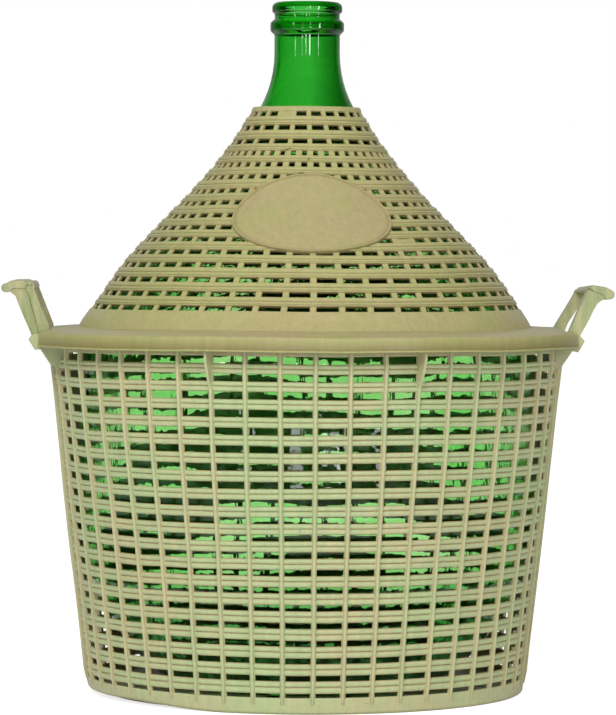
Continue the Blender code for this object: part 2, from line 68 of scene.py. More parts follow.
# Glass corners as (radius, height, rounding), from the mouth down
BORE = 0.0245
NECK = 0.0327
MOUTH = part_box("glass_bottle")[1].z
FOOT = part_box("glass_bottle")[0].z
LIP_CORNERS = [
    (BORE, MOUTH, 0.0015),
    (0.0350, MOUTH, 0.0056),
    (0.0350, MOUTH - 0.0095, 0.0020),
    (0.0324, MOUTH - 0.0115, 0.0020),
    (0.0324, MOUTH - 0.0165, 0.0020),
    (0.0368, MOUTH - 0.0205, 0.0035),
    (0.0368, MOUTH - 0.0285, 0.0035),
    (NECK, MOUTH - 0.0325, 0.0020),
]
SHOULDER_CORNERS = [
    (NECK, 0.6071, 0.113),
    (0.0752, 0.5313, 0.45),
    (0.1756, 0.4256, 0.30),
    (0.2229, 0.3560, 0.10),
    (0.2285, 0.2000, 0.50),
]
FOOT_CORNERS = [
    (0.2285, 0.0770, 0.226),
    (0.1330, FOOT, 0.010),
    (0.1170, FOOT, 0.004),
    (0.0870, FOOT + 0.014, 0.030),
    (0.0000, FOOT + 0.014, 0),
]
# Its walls, and the heights between which one passes into the next
BODY_WALL = 0.0020
SHAFT_WALL = 0.0052
NECK_WALL = NECK - BORE
SHAFT_START = (0.51, 0.58)
LIP_STEP = (0.678, 0.6855)
# The inner wall starts this far below the mouth
LIP_INSIDE = 0.002
GLASS_RINGS = 150
# The wall is uneven: how deep and how fine, and the heights and radii between which it fades
WALL_WAVES = 0.0016
WALL_WAVE_SCALE = 13
WALL_WAVE_Z = (0.46, 0.54)
WALL_WAVE_RADII = (0.05, 0.12)

# Basket
RIM_Z = 0.3570
DRAFT = radians(6.38)
GIRTH_Z = 0.2000
GIRTH_RADIUS = 0.2422
RIM_RADIUS = 0.2720
RIM_THICKNESS = 0.003
RIBS = 48
ROWS = 20
ROW_PITCH = 0.01676
FIRST_ROW_Z = 0.0179
LOW_OPENING = 0.0052
HIGH_OPENING = 0.0072
LOWEST_OPENING = 0.0040
WALL_BACK = 0.0045
BAND_DEPTH = 0.0024
BASE_ROUND = 0.0035
BEAD_TIP_Z = 0.0092
FLOOR_THICKNESS = 0.0080
DRAIN_SLOTS = 12
FIN_RIBS = (22.5, 157.5, 202.5, 337.5)
RIB_STRIP = 0.0026
RIB_BEAD = 0.0019

FIN_DROP = 0.045
FIN_SECTION = ((0, -0.0017), (1, -0.0012), (1, 0.0012), (0, 0.0017))

# Across a bead: its dirt and painted shade, darkest where beads meet, and the tone, where 0 is
# grey-green, 1 beige and 2 the painted amber glow of light through the plastic on the inside
AMBER_GLOW_TONE = 2.0
BEAD_DIRT_AND_SHADE = (0.6, 0.10, 0.0, 0.0, 0.0, 0.10, 0.6)
BEAD_TONE = (1.0, 0.5, 0.1, 0.0, 0.1, 0.6, 1.0)
# The inside's colour is a painted glow: light through the translucent plastic, on faces that are in
# shade
PAINTED_INSIDE_GLOW = (0.78, 0.62, 0.26)

# Slats: the shares of their height at which beads meet, and how far out they meet and crest
BASKET_SPLITS = (0.47,)
BASKET_BEADS = (-0.0038, -0.0022)
COVER_SPLITS = (0.50, 0.84)
COVER_BEADS = (-0.0014, 0.0002)

# The upper wall stands out a little everywhere but at the handles, as a share of its radius
BULGE = 0.0175
BULGE_LOW = (0.12, 0.28)
BULGE_HIGH = (0.336, 0.352)
BULGE_SHARPNESS = 12
# The left edge of the base is lifted: how far, and where this starts and fades
BASE_TILT = 0.0046
BASE_TILT_X = (0.08, 0.18)
BASE_TILT_Z = (0, 0.02)

# The mouldings are wavy: how fine and how deep their long and their short waves are
LONG_WAVES = (7.0, 0.0016)
SHORT_WAVES = (22.0, 0.0004)
WAVE_START = Vector((3.1, 8.2, 1.7))
# Below this height their rise and fall fades, to nothing at the floor
CALM_BELOW = 0.06

# Ears under the handles, by side: an outline of (distance outward, height, rounding)
EAR_HALF_WIDTH = 0.0785
# How much the ears are darkened, evenly, with the brown
EAR_DARKENING = 0.12
EAR_CORNERS = {
    -1: (
        (0.2696, 0.3575, 0),
        (0.2726, 0.3549, 0.0010),
        (0.2746, 0.3519, 0.0012),
        (0.2683, 0.3416, 0.0008),
        (0.2648, 0.3418, 0.0008),
        (0.2639, 0.3435, 0.0008),
        (0.2525, 0.3262, 0),
    ),
    1: (
        (0.2666, 0.3575, 0),
        (0.2690, 0.3545, 0.0010),
        (0.2716, 0.3516, 0.0012),
        (0.2653, 0.3405, 0.0008),
        (0.2622, 0.3414, 0.0008),
        (0.2596, 0.3418, 0.0008),
        (0.2480, 0.3250, 0),
    ),
}
EAR_STEPS = ((-1, 0.0012), (-0.985, 0.0002), (-0.97, 0), (-0.5, 0), (0, 0), (0.5, 0), (0.97, 0),
             (0.985, 0.0002), (1, 0.0012))

# Cover
COVER_OFFSET = 0.0065
COVER_TIGHT = 0.0009
COVER_TIGHT_Z = (0.50, 0.56)
COVER_FOOT = ((0.2214, 0.3607, 0.02), (0.2228, 0.3560, 0), (0.2240, 0.3500, 0))
COVER_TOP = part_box("cover")[1].z
COVER_BACK = 0.0035
COVER_ROWS = (
    0.5756, 0.5614, 0.5477, 0.5358, 0.5244, 0.5122, 0.4984, 0.4866,
    0.4740, 0.4623, 0.4508, 0.4383, 0.4259, 0.4118, 0.3981, 0.3845,
)
COVER_OPENING = 0.0056
WIDE_ROWS = 3
COVER_RIB_WIDTH = 0.0064
WIDE_ROW_RIB_WIDTH = 0.0050
FLANGE_TOP = 0.3605
FLANGE_INSIDE_Z = 0.3634
SKIRT_RADIUS = 0.2771
SKIRT_END = 0.3448
NOTCH_X = 0.2525
NOTCH_HALF_WIDTH = 0.0795
# The cover's top and foot sit left of the middle: how far, and where this fades
TOP_SHIFT = 0.0004
TOP_SHIFT_Z = (0.44, 0.58)
FOOT_SHIFT = 0.0015
FOOT_SHIFT_Z = (0.372, 0.394)

# Cells that stayed closed, as (row, turn from the front, width, depth)
CLOSED_CELLS = ((0, -22.5, 0.014, 0.0012), (10, 33.75, 0.020, 0.0016))
# Dark nicks over the plate, as (height, turn from the front, half its rise, half its run)
NICKS = (
    (0.5388, -14.8, 0.0010, 0.0024),
    (0.5288, -1.1, 0.0018, 0.0010),
    (0.5150, -5.0, 0.0002, 0.0028),
)

# Plate on the cover's front
PLATE_WIDTH = 0.156
PLATE_HEIGHT = 0.103
PLATE_CENTRE = 0.137
PLATE_RIM = 0.0017
PLATE_TONE = 0.78

# Handles: half their width, then by side the uprights' inner and outer edges, from the foot up
HANDLE_HALF_WIDTH = 0.0765
UPRIGHT_WIDTH = 0.019
INNER_EDGE = {
    -1: ((0.2541, 0.3480), (0.2541, 0.3640), (0.2632, 0.3870), (0.2708, 0.4060)),
    1: ((0.2545, 0.3480), (0.2548, 0.3570), (0.2618, 0.3734), (0.2683, 0.3886), (0.2752, 0.4040)),
}
OUTER_EDGE = {
    -1: (
        (0.2690, 0.3480), (0.2719, 0.3570), (0.2795, 0.3744), (0.2849, 0.3874),
        (0.2868, 0.3930), (0.2888, 0.3958), (0.2918, 0.3978), (0.2940, 0.4040),
    ),
    1: (
        (0.2630, 0.3480), (0.2663, 0.3554), (0.2761, 0.3734), (0.2806, 0.3832),
        (0.2842, 0.3890), (0.2872, 0.3912), (0.2905, 0.3926), (0.2930, 0.3975),
    ),
}
# The uprights' flutes: share from the inside out, depth, and the painted shade in the groove there
FLUTES = (
    (0.00, 0.0009, 0.0), (0.04, 0.0001, 0.0), (0.09, 0.0, 0.1), (0.15, 0.0006, 0.1),
    (0.28, 0.0010, 0.0), (0.40, 0.0006, 0.0), (0.45, 0.0, 0.0), (0.48, 0.0009, 0.35),
    (0.52, 0.0, 0.0), (0.60, 0.0010, 0.0), (0.75, 0.0015, 0.0), (0.88, 0.0008, 0.1),
    (0.94, 0.0, 0.1), (0.97, 0.0002, 0.0), (1.00, 0.0012, 0.0),
)
# How deep the flutes are by side, and how far they drift inward on the way up
FLUTE_DEPTH = {-1: 1.0, 1: 0.2}
FLUTE_DRIFT = 0.18
FLUTE_FADE = (0.86, 0.97)
# The right handle's rear upright is thinner between these heights
REAR_SLIM = 0.0031
REAR_SLIM_LOW = (0.356, 0.370)
REAR_SLIM_HIGH = (0.388, 0.396)
GRIP_CORNERS = {
    -1: (
        (0.2766, 0.4020, 0),
        (0.2745, 0.4078, 0.0012),
        (0.2790, 0.4096, 0.0050),
        (0.2925, 0.4092, 0.0060),
        (0.2962, 0.4066, 0.0014),
        (0.3012, 0.4062, 0.0042),
        (0.3010, 0.3979, 0.0042),
        (0.2930, 0.3978, 0.0030),
        (0.2905, 0.4018, 0.0015),
    ),
    1: (
        (0.2788, 0.4012, 0),
        (0.2764, 0.4048, 0.0012),
        (0.2786, 0.4070, 0.0025),
        (0.2930, 0.4046, 0.0060),
        (0.2975, 0.4022, 0.0020),
        (0.3008, 0.4000, 0.0040),
        (0.3004, 0.3930, 0.0042),
        (0.2925, 0.3926, 0.0030),
        (0.2890, 0.3975, 0.0015),
    ),
}
GRIP_STEPS = ((-1, 0.90), (-0.99, 0.97), (-0.97, 1), (0, 1), (0.97, 1), (0.99, 0.97), (1, 0.90))
ROLL_CORNERS = {
    -1: (
        (0.2680, 0.4020, 0.0008),
        (0.2698, 0.4068, 0.0022),
        (0.2726, 0.4088, 0.0030),
        (0.2768, 0.4076, 0.0015),
        (0.2840, 0.4010, 0),
    ),
    1: (
        (0.2732, 0.4016, 0.0008),
        (0.2745, 0.4038, 0.0022),
        (0.2768, 0.4054, 0.0030),
        (0.2800, 0.4044, 0.0015),
        (0.2850, 0.3995, 0),
    ),
}
# The right handle sags and leans more at its rear
REAR_DROP = 0.0036
REAR_LEAN = 0.11
REAR_PIVOT = 0.378

# Light
WORLD_LIGHT = 0.42
WORLD_GLOSS = 0.03
BACKDROP_GLOSS = 0.45
BACKDROP_EDGES = (0.5, 0.9)
FLOOR_GLOW = 0.75
FLOOR_HALF = 30
# Soft lamps: place, size, power
SOFT_LAMPS = (((-0.95, -2.6, 2.5), 1.2, 58), ((1.6, -2.8, 1.2), 1.4, 15))
STRIP_DISTANCE = 3.0
# Windows that only reflections show: turn from the front, height, width, length, power.
# The high ones show on the neck and the low ones on the body.
STRIPS = (
    (-43, 0.80, 0.12, 0.45, 1.80),
    (-15, 0.82, 0.08, 0.50, 1.10),
    (-4, 0.80, 0.10, 0.40, 2.40),
    (9, 0.82, 0.12, 0.45, 2.10),
    (13, 0.315, 0.60, 0.12, 1.30),
    (-29, 0.31, 0.30, 0.10, 0.55),
    (-4, 0.280, 0.30, 0.10, 0.55),
    (18, 0.270, 0.30, 0.10, 0.55),
    (35, 0.280, 0.30, 0.12, 0.65),
    (40, 0.82, 0.12, 0.55, 3.00),
)

# Plastics, each as a grey-green and a beige tone, and a brown for the dirt and the painted shade in
# their grooves, corners and backs
COVER_TONES = ((0.44, 0.445, 0.17), (0.485, 0.41, 0.205))
# The lattice's tones are the cover's made lighter: painted light for its rounded slats, which take
# less light than the flange and plate
BRIGHTENED_LATTICE_TONES = ((0.49, 0.485, 0.20), (0.52, 0.455, 0.22))
HANDLE_TONES = ((0.41, 0.46, 0.215), (0.50, 0.475, 0.25))
BASKET_TONES = ((0.53, 0.63, 0.32), (0.63, 0.57, 0.32))
DIRT_AND_SHADE_COLOUR = (0.16, 0.075, 0.02)
DIRT_AND_SHADE_SHARE = 0.78
STREAKS = 0.06
HANDLE_STREAKS = 0.13
PLASTIC_ROUGHNESS = 0.33

# Glass: the tint that grows with its depth, then the tints of its surface and where they change:
# painted warm light on the body, and painted shade at the heel and at the right of the neck
GLASS_TINT = (0.28, 0.825, 0.29)
GLASS_DENSITY = 480
NECK_GLASS = (1, 1, 1)
PAINTED_WARM_LIGHT_GLASS = (0.98, 0.95, 0.82)
PAINTED_SHADE_GLASS = (0.50, 0.60, 0.50)
PAINTED_WARM_LIGHT_Z = (0.46, 0.54)
PAINTED_SHADE_HEEL_Z = (0.06, 0.13)
PAINTED_SHADE_NECK_Z = (0.55, 0.58)
PAINTED_SHADE_NECK_X = (0.004, 0.034)
GLASS_BUMP = 0.0010
GLASS_BUMP_Z = (0.50, 0.56)

# Smoothness
TURN_STEPS = 192
FINE_ARC = radians(5)
TINY = 1e-7


def rounded(corners, closed=False, arc=FINE_ARC):
    """The outline through (x, y, radius) corners, each rounded as far as its sides allow."""
    spots = [Vector(corner[:2]) for corner in corners]
    sides = [after - here for here, after in zip(spots, spots[1:] + spots[:1])]
    turns = [sides[index - 1].angle(side) for index, side in enumerate(sides)]
    if not closed:
        turns[0] = turns[-1] = 0
    wanted = [radius * tan(turn / 2) for (_, _, radius), turn in zip(corners, turns)]
    pairs = zip(sides, wanted, wanted[1:] + wanted[:1])
    shares = [min(1, 0.98 * side.length / max(here + after, TINY)) for side, here, after in pairs]
    points = []
    for index, (corner, turn) in enumerate(zip(spots, turns)):
        reach = wanted[index] * min(shares[index - 1], shares[index])
        if reach < TINY:
            points.append(corner)
            continue
        start = sides[index - 1].normalized() * -reach
        end = sides[index].normalized() * reach
        middle = (start + end).normalized() * hypot(reach, reach / tan(turn / 2))
        steps = ceil(turn / arc)
        for step in range(steps + 1):
            angle = turn * step / steps
            spoke = (start - middle) * sin(turn - angle) + (end - middle) * sin(angle)
            points.append(corner + middle + spoke / sin(turn))
    return points


class Line:
    """A smooth outline of (radius, height) points that is read by height or by length."""

    def __init__(self, points):
        self.points = points
        self.marks = [0, *accumulate((b - a).length for a, b in zip(points, points[1:]))]
        self.length = self.marks[-1]

    def at_height(self, height):
        for index, (a, b) in enumerate(zip(self.points, self.points[1:])):
            if a.y >= height >= b.y and a.y > b.y:
                share = (a.y - height) / (a.y - b.y)
                return self.marks[index] + share * (b - a).length
        return 0 if height > self.points[0].y else self.length

    def spot(self, distance, out=0.0):
        """The (radius, height) at a length along the line, moved outward by a distance."""
        side = min(max(bisect_right(self.marks, distance), 1), len(self.marks) - 1)
        start, end = self.points[side - 1], self.points[side]
        way = (end - start).normalized()
        point = start + way * (distance - self.marks[side - 1])
        return point + Vector((-way.y, way.x)) * out


def placed(name, data):
    """A new object in the scene, for a mesh, a light or a camera."""
    obj = bpy.data.objects.new(name, data)
    bpy.context.scene.collection.objects.link(obj)
    return obj


def tidy(mesh):
    """Merges points that share a place and turns the faces outward."""
    bm = bmesh.new()
    bm.from_mesh(mesh)
    bmesh.ops.remove_doubles(bm, verts=bm.verts, dist=1e-6)
    bmesh.ops.recalc_face_normals(bm, faces=bm.faces)
    bm.to_mesh(mesh)
    bm.free()


class Builder:
    """Gathers closed solids, each a row of sections joined one to the next, into one mesh."""

    def __init__(self):
        self.verts = []
        self.faces = []
        self.dirt_and_shade = []
        self.tone = []

    def add(self, sections, dirt_and_shade=None, tone=None, around=False):
        """Joins sections of equal size; the darkening, for dirt and painted shade, and the tone give
        one value per point of a section.
        """
        size = len(sections[0])
        first = len(self.verts)
        for section in sections:
            self.verts.extend(section)
            self.dirt_and_shade.extend(dirt_and_shade or [0.0] * size)
            self.tone.extend(tone or [0.5] * size)
        count = len(sections)
        for index in range(count if around else count - 1):
            here = first + index * size
            there = first + (index + 1) % count * size
            for spot in range(size):
                after = (spot + 1) % size
                self.faces.append((here + spot, there + spot, there + after, here + after))
        if not around:
            self.faces.append(tuple(range(first, first + size)))
            last = first + (count - 1) * size
            self.faces.append(tuple(range(last + size - 1, last - 1, -1)))

    def build(self, name, bend=None, angle=radians(40), merge=False):
        """The gathered solids as one object, bent by a function that moves a point."""
        verts = [bend(Vector(point)) for point in self.verts] if bend else self.verts
        mesh = bpy.data.meshes.new(name)
        mesh.from_pydata(verts, [], self.faces)
        for title, values in (("dirt_and_shade", self.dirt_and_shade), ("tone", self.tone)):
            attribute = mesh.attributes.new(title, "FLOAT", "POINT")
            attribute.data.foreach_set("value", values)
        if merge:
            tidy(mesh)
        mesh.shade_smooth()
        mesh.set_sharp_from_angle(angle=angle)
        return placed(name, mesh)


def around(radius, height, angle):
    """A point by its radius, its height and its angle, counted from the front towards +X."""
    return Vector((radius * sin(angle), -radius * cos(angle), height))


def turned(section, steps=TURN_STEPS):
    """The sections that a (radius, height) outline passes through in a full turn."""
    angles = [2 * pi * step / steps for step in range(steps)]
    return [[around(spot.x, spot.y, angle) for spot in section] for angle in angles]


def along(line, pairs):
    """The (radius, height) spots of (distance along, distance out) pairs on a line."""
    return [line.spot(distance, out) for distance, out in pairs]


def basket_line():
    """The straight outline of the basket's bead crests, from the rim down."""
    top = Vector((GIRTH_RADIUS + (RIM_Z - GIRTH_Z) * tan(DRAFT), RIM_Z))
    bottom = Vector((GIRTH_RADIUS - GIRTH_Z * tan(DRAFT), 0))
    return Line([top, bottom])


def cover_line():
    """The cover's outer surface: the glass's shoulder moved outward, straight at the flange."""
    glass = Line(rounded([(NECK, MOUTH, 0), *SHOULDER_CORNERS[:3], *COVER_FOOT]))
    count = 260
    spots = []
    for step in range(count + 1):
        distance = glass.length * step / count
        tight = COVER_TIGHT * ramp(glass.spot(distance).y, COVER_TIGHT_Z)
        spots.append(glass.spot(distance, COVER_OFFSET - tight))
    return Line([spot for spot in spots if FLANGE_TOP - 0.004 < spot.y < COVER_TOP])


def warp(point):
    """The slight waviness of a moulding that cooled unevenly."""
    scale, depth = LONG_WAVES
    shift = noise.noise_vector(point * scale + WAVE_START) * depth
    scale, depth = SHORT_WAVES
    shift += noise.noise_vector(point * scale) * depth
    shift.z *= min(max(point.z / CALM_BELOW, 0), 1)
    return point + shift


def ramp(value, ends):
    """0 before the first end, 1 after the second, and smooth between."""
    share = min(max((value - ends[0]) / (ends[1] - ends[0]), 0), 1)
    return share * share * (3 - 2 * share)


def bulge(point):
    """The basket's own set: its wall bulges except at the handles, and its base lifts at the left."""
    amount = BULGE * ramp(point.z, BULGE_LOW) * (1 - ramp(point.z, BULGE_HIGH))
    sideways = (point.x / max(hypot(point.x, point.y), TINY)) ** BULGE_SHARPNESS
    grown = 1 + amount * (1 - sideways)
    lift = BASE_TILT * ramp(-point.x, BASE_TILT_X) * (1 - ramp(point.z, BASE_TILT_Z))
    return warp(Vector((point.x * grown, point.y * grown, point.z + lift)))


def lean(point):
    """The cover's own set: its top and its foot sit a little left of the middle."""
    shift = TOP_SHIFT * ramp(point.z, TOP_SHIFT_Z)
    shift += FOOT_SHIFT * (1 - ramp(point.z, FOOT_SHIFT_Z))
    return warp(point) - Vector((shift, 0, 0))


def sag(point):
    """The right handle sags at its rear, where it leans outward above a pivot and inward below."""
    if point.x < 0:
        return point
    share = ramp(point.y, (-HANDLE_HALF_WIDTH, HANDLE_HALF_WIDTH))
    out = REAR_LEAN * (point.z - REAR_PIVOT) * share
    down = REAR_DROP * share * ramp(point.z, (RIM_Z, 0.40))
    return point + Vector((out, 0, -down))


def bead(low, high, depth, crest):
    """Points across a rounded bead, as (distance along, height out) pairs."""
    shares = ((0, 0), (0.12, 0.62), (0.3, 0.93), (0.5, 1.0), (0.7, 0.93), (0.88, 0.62), (1, 0))
    return [(low + (high - low) * along, depth + (crest - depth) * up) for along, up in shares]


def slat_section(high, low, back, depth, crest, splits, inside):
    """A slat of beads side by side, which meet at shares of its height.

    It gives (distance, out) pairs, how dark each is with dirt and painted shade, and its tone. The
    last argument gives the darkening and the tone of its back: painted shade on the cover, the amber
    glow on the basket.
    """
    points, dirt_and_shade, tone = [(high, -back)], [inside[0]], [inside[1]]
    ends = (0, *splits, 1)
    for start, end in zip(ends, ends[1:]):
        skipped = 0 if start == 0 else 1
        upper = high + (low - high) * start
        lower = high + (low - high) * end
        points += bead(upper, lower, depth, crest)[skipped:]
        dirt_and_shade += BEAD_DIRT_AND_SHADE[skipped:]
        tone += BEAD_TONE[skipped:]
    return [*points, (low, -back)], [*dirt_and_shade, inside[0]], [*tone, inside[1]]


def rib_section():
    """A round bead on a flat strip: (distance across, out) pairs, the darkening for dirt and painted
    shade in its creases, and the tone, with the painted amber glow at its back.
    """
    edge = [(-RIB_STRIP, -0.0046), (-RIB_STRIP, -0.0030), (-0.0023, -0.0025), (-0.0020, -0.0023)]
    turns = [radians(turn) for turn in (-90, -62, -36, -12, 12, 36, 62, 90)]
    crest = [(RIB_BEAD * sin(turn), -0.0019 + 0.0019 * cos(turn)) for turn in turns]
    points = edge + crest + [(-x, out) for x, out in reversed(edge)]
    # Dirt and painted shade where the bead meets the strip and at the strip's edges
    side = [0.0, 0.2, 0.1, 0.3]
    dirt_and_shade = side + [0.3, 0.1, 0, 0, 0, 0, 0.1, 0.3] + side[::-1]
    over = [1.0, 0.9, 0.6, 0.3, 0.3, 0.6, 0.9, 1.0]
    tone = [AMBER_GLOW_TONE, 0.7, 0.5, 1.0, *over, 1.0, 0.5, 0.7, AMBER_GLOW_TONE]
    return points, dirt_and_shade, tone


def make_basket_wall():
    """The slats between the rows of openings, a plain band over them and one under them."""
    line = basket_line()
    openings = []
    for row in range(ROWS):
        middle = FIRST_ROW_Z + ROW_PITCH * row
        height = LOW_OPENING + (HIGH_OPENING - LOW_OPENING) * row / (ROWS - 1)
        height = LOWEST_OPENING if row == 0 else height
        openings.append((middle + height / 2, middle - height / 2))
    openings.reverse()
    wall = Builder()
    for (_, bottom), (top, _) in zip(openings, openings[1:]):
        high, low = line.at_height(bottom), line.at_height(top)
        # The backs take no darkening and the painted amber glow of light through the plastic
        points, dirt_and_shade, tone = slat_section(
            high, low, WALL_BACK, *BASKET_BEADS, BASKET_SPLITS, (0, AMBER_GLOW_TONE)
        )
        wall.add(turned(along(line, points)), dirt_and_shade, tone, around=True)
    top_band_end = line.at_height(openings[0][0])
    band = [(0.0005, -WALL_BACK), (0.0005, -BAND_DEPTH), (top_band_end - 0.001, -BAND_DEPTH)]
    band += [(top_band_end, -BAND_DEPTH - 0.001), (top_band_end, -WALL_BACK)]
    # Painted shade at the band's edges, under the rim, and at its back
    dirt_and_shade = [0.5, 0.3, 0.1, 0.4, 0.5]
    wall.add(turned(along(line, band)), dirt_and_shade, around=True)
    base_start = line.spot(line.at_height(openings[-1][1]), -BAND_DEPTH)
    inside = line.spot(line.at_height(openings[-1][1]), -WALL_BACK)
    foot = line.spot(line.length, -BAND_DEPTH)
    base = rounded(
        [
            (inside.x, inside.y, 0),
            (base_start.x, base_start.y, 0.001),
            (foot.x, 0, BASE_ROUND),
            (foot.x - 0.008, 0, 0),
            (foot.x - 0.008, FLOOR_THICKNESS, 0),
            (inside.x - 0.0008, FLOOR_THICKNESS, 0.001),
        ],
        closed=True,
        arc=radians(18),
    )
    # Darker along the underside of the base, and a little elsewhere
    dirt_and_shade = [0.3 if spot.y < 0.003 else 0.05 for spot in base]
    wall.add(turned(base), dirt_and_shade, around=True)
    return wall.build("basket_wall", bulge)


def make_basket_ribs():
    """The upright ribs, which taper to a tip above the base."""
    line = basket_line()
    points, dirt_and_shade, tone = rib_section()
    ribs = Builder()
    start, end = 0.001, line.at_height(BEAD_TIP_Z)
    tip = 0.004
    steps = 26
    for rib in range(RIBS):
        angle = 2 * pi * rib / RIBS
        sections = []
        for step in range(steps + 1):
            distance = start + (end - start) * step / steps
            taper = min(1.0, (end - distance) / tip + 0.25)
            section = []
            for across, out in points:
                over = max(out + BAND_DEPTH, 0) * taper ** 0.5
                across = across * (taper if abs(across) <= RIB_BEAD else 1)
                spot = line.spot(distance, min(out, -BAND_DEPTH) + over)
                section.append(around(spot.x, spot.y, angle + across / spot.x))
            sections.append(section)
        ribs.add(sections, dirt_and_shade, tone)
    return ribs.build("basket_ribs", bulge)


def plain_box(name, low, high):
    """A box between two corners."""
    bm = bmesh.new()
    size = Vector(high) - Vector(low)
    place = Matrix.Translation((Vector(high) + Vector(low)) / 2)
    bmesh.ops.create_cube(bm, size=1, matrix=place @ Matrix.Diagonal((*size, 1)))
    mesh = bpy.data.meshes.new(name)
    bm.to_mesh(mesh)
    bm.free()
    return placed(name, mesh)


def settle(obj, bend=None, angle=radians(40)):
    """Turns an object's modifiers into its plain mesh, and bends it."""
    bpy.context.view_layer.update()
    graph = bpy.context.evaluated_depsgraph_get()
    mesh = bpy.data.meshes.new_from_object(obj.evaluated_get(graph))
    obj.modifiers.clear()
    obj.data = mesh
    if bend:
        for vert in mesh.vertices:
            vert.co = bend(vert.co)
    mesh.shade_smooth()
    mesh.set_sharp_from_angle(angle=angle)
    return obj


def cut(obj, cutters):
    """Cuts helper solids from an object and removes them."""
    for cutter in cutters:
        boolean = obj.modifiers.new(cutter.name, "BOOLEAN")
        boolean.operation = "DIFFERENCE"
        boolean.solver = "EXACT"
        boolean.object = cutter
    settle(obj)
    for cutter in cutters:
        bpy.data.objects.remove(cutter)
    return obj


def wall_radius(height):
    """The radius of the basket's bead crests at a height."""
    return GIRTH_RADIUS + (height - GIRTH_Z) * tan(DRAFT)


def make_rim():
    """The turned-out rim that carries the cover."""
    low = RIM_Z - RIM_THICKNESS
    inside = wall_radius(low) - WALL_BACK
    section = rounded(
        [
            (inside, RIM_Z, 0.0005),
            (RIM_RADIUS, RIM_Z, 0.0012),
            (RIM_RADIUS, low, 0.0010),
            (wall_radius(low), low, 0.0015),
            (wall_radius(low) - 0.0020, low - 0.002, 0),
            (inside, low - 0.002, 0),
        ],
        closed=True,
        arc=radians(20),
    )
    rim = Builder()
    rim.add(turned(section), around=True)
    return rim.build("basket_rim", warp)


def make_floor():
    """The basket's floor with its radial drain slots."""
    disc = Builder()
    edge = wall_radius(0.004) - 0.0135
    section = [
        (0, FLOOR_THICKNESS),
        (edge, FLOOR_THICKNESS),
        (edge, 0.0030),
        (edge - 0.005, 0.0010),
        (edge - 0.012, 0.0004),
        (0, 0.0004),
    ]
    section = [Vector(spot) for spot in section]
    sections = turned(section, 96)
    disc.add(sections, around=True)
    floor = disc.build("basket_floor", merge=True)
    cutters = []
    for slot in range(DRAIN_SLOTS):
        cutter = plain_box("slot", (0.103, -0.007, -0.02), (0.183, 0.007, 0.03))
        cutter.rotation_euler.z = 2 * pi * (slot + 0.5) / DRAIN_SLOTS
        bevel = cutter.modifiers.new("round", "BEVEL")
        bevel.width = 0.004
        bevel.segments = 3
        cutters.append(cutter)
    return cut(floor, cutters)


def make_fins():
    """The radial fins under the rim."""
    fins = Builder()
    top = RIM_Z - RIM_THICKNESS
    steps = 8
    for degrees in FIN_RIBS:
        angle = radians(degrees)
        sections = []
        for step in range(steps + 1):
            height = top - FIN_DROP * step / steps
            wall = wall_radius(height) - 0.003
            reach = (RIM_RADIUS - 0.002 - wall) * (1 - step / steps) ** 0.8 + 0.002
            section = []
            for out, across in FIN_SECTION:
                radius = wall + reach * out
                section.append(around(radius, height, angle + across / radius))
            sections.append(section)
        fins.add(sections)
    return fins.build("basket_fins", bulge)


def wall_depth(height, across):
    """How far out the basket's flat strips stand at a height, some way along the rim."""
    radius = wall_radius(height) - 0.0025
    return (radius**2 - across**2) ** 0.5


def make_ears():
    """The blocks under the handles: a lip in line with the skirt over a sloped panel."""
    ears = Builder()
    for side, corners in EAR_CORNERS.items():
        outline = rounded(corners, arc=radians(20))
        sections = []
        for share, inset in EAR_STEPS:
            across = share * EAR_HALF_WIDTH
            section = [(spot.x - inset, across, spot.y) for spot in outline]
            low = section[-1][2]
            for height in (low - 0.0005, 0.5 * (low + RIM_Z), RIM_Z + 0.0005):
                section.append((wall_depth(height, across) - 0.0030, across, height))
            sections.append([Vector((side * x, side * y, z)) for x, y, z in section])
        ears.add(sections, [EAR_DARKENING] * len(sections[0]))
    return ears.build("basket_ears")


def extruded(corners, side, steps, half_width):
    """Sections of an upright (distance outward, height) outline, run along a handle."""
    outline = rounded(corners, closed=True, arc=radians(15))
    middle = sum(outline, Vector((0, 0))) / len(outline)
    sections = []
    for share, shrink in steps:
        spots = [middle + (spot - middle) * shrink for spot in outline]
        sections.append([Vector((side * x, side * share * half_width, z)) for x, z in spots])
    return sections


def make_upright(side, hand):
    """Sections of an upright from the foot up, fluted in front and behind, and the painted shade in
    their flutes.
    """
    inner = Line([Vector(spot) for spot in INNER_EDGE[side]])
    outer = Line([Vector(spot) for spot in OUTER_EDGE[side]])
    outside, inside = HANDLE_HALF_WIDTH, HANDLE_HALF_WIDTH - UPRIGHT_WIDTH
    slim = REAR_SLIM if side == hand == 1 else 0
    sections = []
    steps = 32
    for step in range(steps + 1):
        near = inner.spot(inner.length * step / steps)
        far = outer.spot(outer.length * step / steps)
        far.x -= slim * ramp(far.y, REAR_SLIM_LOW) * (1 - ramp(far.y, REAR_SLIM_HIGH))
        fade = FLUTE_DEPTH[side] * (1 - ramp(step / steps, FLUTE_FADE))
        drift = FLUTE_DRIFT * (1 - 2 * step / steps)
        faces = [(share, outside - depth * fade) for share, depth, _ in FLUTES]
        faces += [(share, inside + depth * fade) for share, depth, _ in reversed(FLUTES)]
        section = []
        for share, across in faces:
            x, z = near + (far - near) * (share + drift * 4 * share * (1 - share))
            section.append(Vector((side * x, side * hand * across, z)))
        sections.append(section)
    dirt_and_shade = [darkening * FLUTE_DEPTH[side] for _, _, darkening in FLUTES]
    return sections, dirt_and_shade + dirt_and_shade[::-1]


